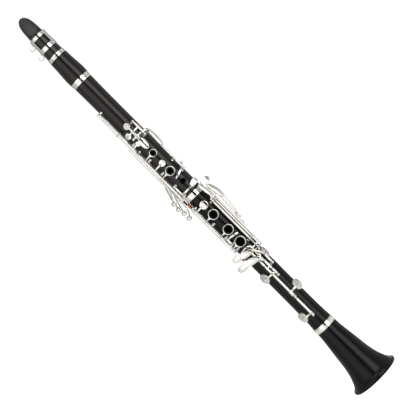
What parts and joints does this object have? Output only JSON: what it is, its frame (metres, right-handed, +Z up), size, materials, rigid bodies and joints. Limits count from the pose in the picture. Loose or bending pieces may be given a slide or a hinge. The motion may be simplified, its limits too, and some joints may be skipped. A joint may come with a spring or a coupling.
{
  "type": "clarinet",
  "caption": "Boehm-system soprano clarinet of dark wood with silver-plated keys, rings and posts, standing on its bell, with mouthpiece, reed and ligature.",
  "frame": {"origin": "on the bore's axis, in the plane of the bell's rim, where the instrument stands", "axes": "+Z up the bore from the bell to the mouthpiece's tip; -Y is the side with the finger holes; +X is the side of the left-hand little-finger levers"},
  "size_m": [0.0714, 0.0714, 0.6655],
  "materials": {
    "wood": "satin, oiled",
    "silver": "polished silver plate",
    "metal": "polished plate",
    "ebonite": "matt hard rubber",
    "cork": "matt cork",
    "cane": "matt cane"
  },
  "bodies": {
    "body": {"bell": "wood", "bell_ring": "silver", "bell_tenon_cork": "cork", "lower_joint": "wood", "lower_socket_ring": "silver", "middle_tenon_cork": "cork", "upper_joint": "wood", "upper_joint_ring": "silver", "upper_tenon_cork": "cork", "thumb_rest": "metal", "left_upper_posts": "silver", "trill_posts": "silver", "throat_gs_posts": "silver", "cs_gs_posts": "silver", "eb_bb_posts": "silver", "thumb_ring_posts": "silver", "left_lower_posts": "silver", "b_fs_posts": "silver", "rh_ab_posts": "silver", "throat_a_posts": "silver", "register_posts": "silver", "centre_post_end": "silver", "centre_post_middle": "silver", "second_post_end": "silver", "double_post": "silver", "centre_post_top": "silver", "lever_posts_lower": "silver", "lever_posts_upper": "silver", "trill_guide": "silver"},
    "barrel_and_mouthpiece": {"barrel": "wood", "barrel_lower_ring": "silver", "barrel_upper_ring": "silver", "mouthpiece": "ebonite", "mouthpiece_cork": "cork", "reed": "cane", "ligature_band": "silver"},
    "ligature_screw_upper": {"ligature_screw_upper": "silver"},
    "ligature_screw_lower": {"ligature_screw_lower": "silver"},
    "throat_a_key": {"throat_a_key": "silver"},
    "throat_gs_key": {"throat_gs_key": "silver"},
    "register_key": {"register_key": "silver"},
    "upper_ring_key": {"upper_ring_key": "silver"},
    "thumb_ring_key": {"thumb_ring_key": "silver"},
    "cs_gs_key": {"cs_gs_key": "silver"},
    "eb_bb_key": {"eb_bb_key": "silver"},
    "trill_1_key": {"trill_1_key": "silver"},
    "trill_2_key": {"trill_2_key": "silver"},
    "trill_3_key": {"trill_3_key": "silver"},
    "trill_4_key": {"trill_4_key": "silver"},
    "lower_ring_key": {"lower_ring_key": "silver"},
    "b_fs_key": {"b_fs_key": "silver"},
    "rh_fs_key": {"rh_fs_key": "silver"},
    "rh_ab_key": {"rh_ab_key": "silver"},
    "rh_fc_touch": {"rh_fc_touch": "silver"},
    "rh_fc_pad_key": {"rh_fc_pad_key": "silver"},
    "rh_eb_key": {"rh_eb_key": "silver"},
    "lever_fc_key": {"lever_fc_key": "silver"},
    "lever_fs_key": {"lever_fs_key": "silver"},
    "lever_eb_key": {"lever_eb_key": "silver"}
  },
  "joints": [
    {"name": "tuning_slide", "type": "slide", "parent": "body", "child": "barrel_and_mouthpiece", "axis": [0, 0, 1], "range_m": [0, 0.003]},
    {"name": "ligature_screw_upper_turn", "type": "hinge", "parent": "barrel_and_mouthpiece", "child": "ligature_screw_upper", "pos_m": [0, 0.0164, 0.6273], "axis": [1, 0, 0], "continuous": true},
    {"name": "ligature_screw_lower_turn", "type": "hinge", "parent": "barrel_and_mouthpiece", "child": "ligature_screw_lower", "pos_m": [0, 0.0164, 0.6105], "axis": [1, 0, 0], "continuous": true},
    {"name": "throat_a_key_hinge", "type": "hinge", "parent": "body", "child": "throat_a_key", "pos_m": [0, -0.0183, 0.4453], "axis": [1, 0, 0], "range_deg": [0, 8], "stiffness_Nm_per_rad": 0.03, "springref_deg": -6.88},
    {"name": "throat_gs_key_hinge", "type": "hinge", "parent": "body", "child": "throat_gs_key", "pos_m": [0.00999, -0.01437, 0.4517], "axis": [0, 0, 1], "range_deg": [0, 8], "stiffness_Nm_per_rad": 0.03, "springref_deg": -6.88},
    {"name": "register_key_hinge", "type": "hinge", "parent": "body", "child": "register_key", "pos_m": [0, 0.0183, 0.4607], "axis": [1, 0, 0], "range_deg": [-5, 0], "stiffness_Nm_per_rad": 0.03, "springref_deg": 6.88},
    {"name": "upper_ring_key_hinge", "type": "hinge", "parent": "body", "child": "upper_ring_key", "pos_m": [-0.01622, -0.01082, 0.3887], "axis": [0, 0, 1], "range_deg": [0, 4.5], "stiffness_Nm_per_rad": 0.03, "springref_deg": -6.88},
    {"name": "thumb_ring_key_hinge", "type": "hinge", "parent": "body", "child": "thumb_ring_key", "pos_m": [0.01412, 0.01271, 0.4037], "axis": [0, 0, 1], "range_deg": [0, 4.5], "stiffness_Nm_per_rad": 0.03, "springref_deg": -6.88},
    {"name": "cs_gs_key_hinge", "type": "hinge", "parent": "body", "child": "cs_gs_key", "pos_m": [-0.0118, -0.01252, 0.355], "axis": [0, 0, 1], "range_deg": [0, 7], "stiffness_Nm_per_rad": 0.03, "springref_deg": -6.88},
    {"name": "eb_bb_key_hinge", "type": "hinge", "parent": "body", "child": "eb_bb_key", "pos_m": [0.01426, -0.01098, 0.3817], "axis": [0, 0, 1], "range_deg": [-7, 0], "stiffness_Nm_per_rad": 0.03, "springref_deg": 6.88},
    {"name": "trill_1_key_hinge", "type": "hinge", "parent": "body", "child": "trill_1_key", "pos_m": [-0.01585, 0.00915, 0.3867], "axis": [0, 0, 1], "range_deg": [-8, 0], "stiffness_Nm_per_rad": 0.03, "springref_deg": 6.88},
    {"name": "trill_2_key_hinge", "type": "hinge", "parent": "body", "child": "trill_2_key", "pos_m": [-0.01585, 0.00915, 0.4097], "axis": [0, 0, 1], "range_deg": [-8, 0], "stiffness_Nm_per_rad": 0.03, "springref_deg": 6.88},
    {"name": "trill_3_key_hinge", "type": "hinge", "parent": "body", "child": "trill_3_key", "pos_m": [-0.01585, 0.00915, 0.4357], "axis": [0, 0, 1], "range_deg": [-8, 0], "stiffness_Nm_per_rad": 0.03, "springref_deg": 6.88},
    {"name": "trill_4_key_hinge", "type": "hinge", "parent": "body", "child": "trill_4_key", "pos_m": [-0.01622, -0.01082, 0.4647], "axis": [0, 0, 1], "range_deg": [-8, 0], "stiffness_Nm_per_rad": 0.03, "springref_deg": 6.88},
    {"name": "lower_ring_key_hinge", "type": "hinge", "parent": "body", "child": "lower_ring_key", "pos_m": [-0.01622, -0.01082, 0.286], "axis": [0, 0, 1], "range_deg": [0, 4.5], "stiffness_Nm_per_rad": 0.03, "springref_deg": -6.88},
    {"name": "b_fs_key_hinge", "type": "hinge", "parent": "body", "child": "b_fs_key", "pos_m": [-0.01137, -0.01317, 0.263], "axis": [0, 0, 1], "range_deg": [0, 7], "stiffness_Nm_per_rad": 0.03, "springref_deg": -6.88},
    {"name": "rh_fs_key_hinge", "type": "hinge", "parent": "body", "child": "rh_fs_key", "pos_m": [0.00371, -0.0184, 0.214], "axis": [0, 0, 1], "range_deg": [-6.5, 0], "stiffness_Nm_per_rad": 0.03, "springref_deg": 6.88},
    {"name": "rh_ab_key_hinge", "type": "hinge", "parent": "body", "child": "rh_ab_key", "pos_m": [0.00967, -0.01577, 0.2135], "axis": [0, 0, 1], "range_deg": [-7, 0], "stiffness_Nm_per_rad": 0.03, "springref_deg": 6.88},
    {"name": "rh_fc_touch_hinge", "type": "hinge", "parent": "body", "child": "rh_fc_touch", "pos_m": [0.00371, -0.0184, 0.207], "axis": [0, 0, 1], "range_deg": [-6.5, 0], "stiffness_Nm_per_rad": 0.03, "springref_deg": 6.88},
    {"name": "rh_fc_pad_key_hinge", "type": "hinge", "parent": "body", "child": "rh_fc_pad_key", "pos_m": [-0.0012, -0.0185, 0.18], "axis": [0, 0, 1], "range_deg": [0, 6.5], "stiffness_Nm_per_rad": 0.03, "springref_deg": -6.88},
    {"name": "rh_eb_key_hinge", "type": "hinge", "parent": "body", "child": "rh_eb_key", "pos_m": [-0.0012, -0.0185, 0.177], "axis": [0, 0, 1], "range_deg": [-8, 0], "stiffness_Nm_per_rad": 0.03, "springref_deg": 6.88},
    {"name": "lever_fc_key_hinge", "type": "hinge", "parent": "body", "child": "lever_fc_key", "pos_m": [0.01077, -0.01516, 0.281], "axis": [0, 0, 1], "range_deg": [0, 6.3], "stiffness_Nm_per_rad": 0.03, "springref_deg": -6.88},
    {"name": "lever_fs_key_hinge", "type": "hinge", "parent": "body", "child": "lever_fs_key", "pos_m": [0.01425, -0.01196, 0.281], "axis": [0, 0, 1], "range_deg": [0, 6.3], "stiffness_Nm_per_rad": 0.03, "springref_deg": -6.88},
    {"name": "lever_eb_key_hinge", "type": "hinge", "parent": "body", "child": "lever_eb_key", "pos_m": [0.01699, -0.00756, 0.281], "axis": [0, 0, 1], "range_deg": [0, 5.2], "stiffness_Nm_per_rad": 0.03, "springref_deg": -6.88}
  ],
  "couplings": [
    {"joint": "rh_fc_pad_key_hinge", "follows": "rh_fc_touch_hinge", "ratio": -1},
    {"joint": "lever_fc_key_hinge", "follows": "rh_fc_touch_hinge", "ratio": -0.95},
    {"joint": "lever_fs_key_hinge", "follows": "rh_fs_key_hinge", "ratio": -0.8},
    {"joint": "lever_eb_key_hinge", "follows": "rh_eb_key_hinge", "ratio": -0.634}
  ]
}
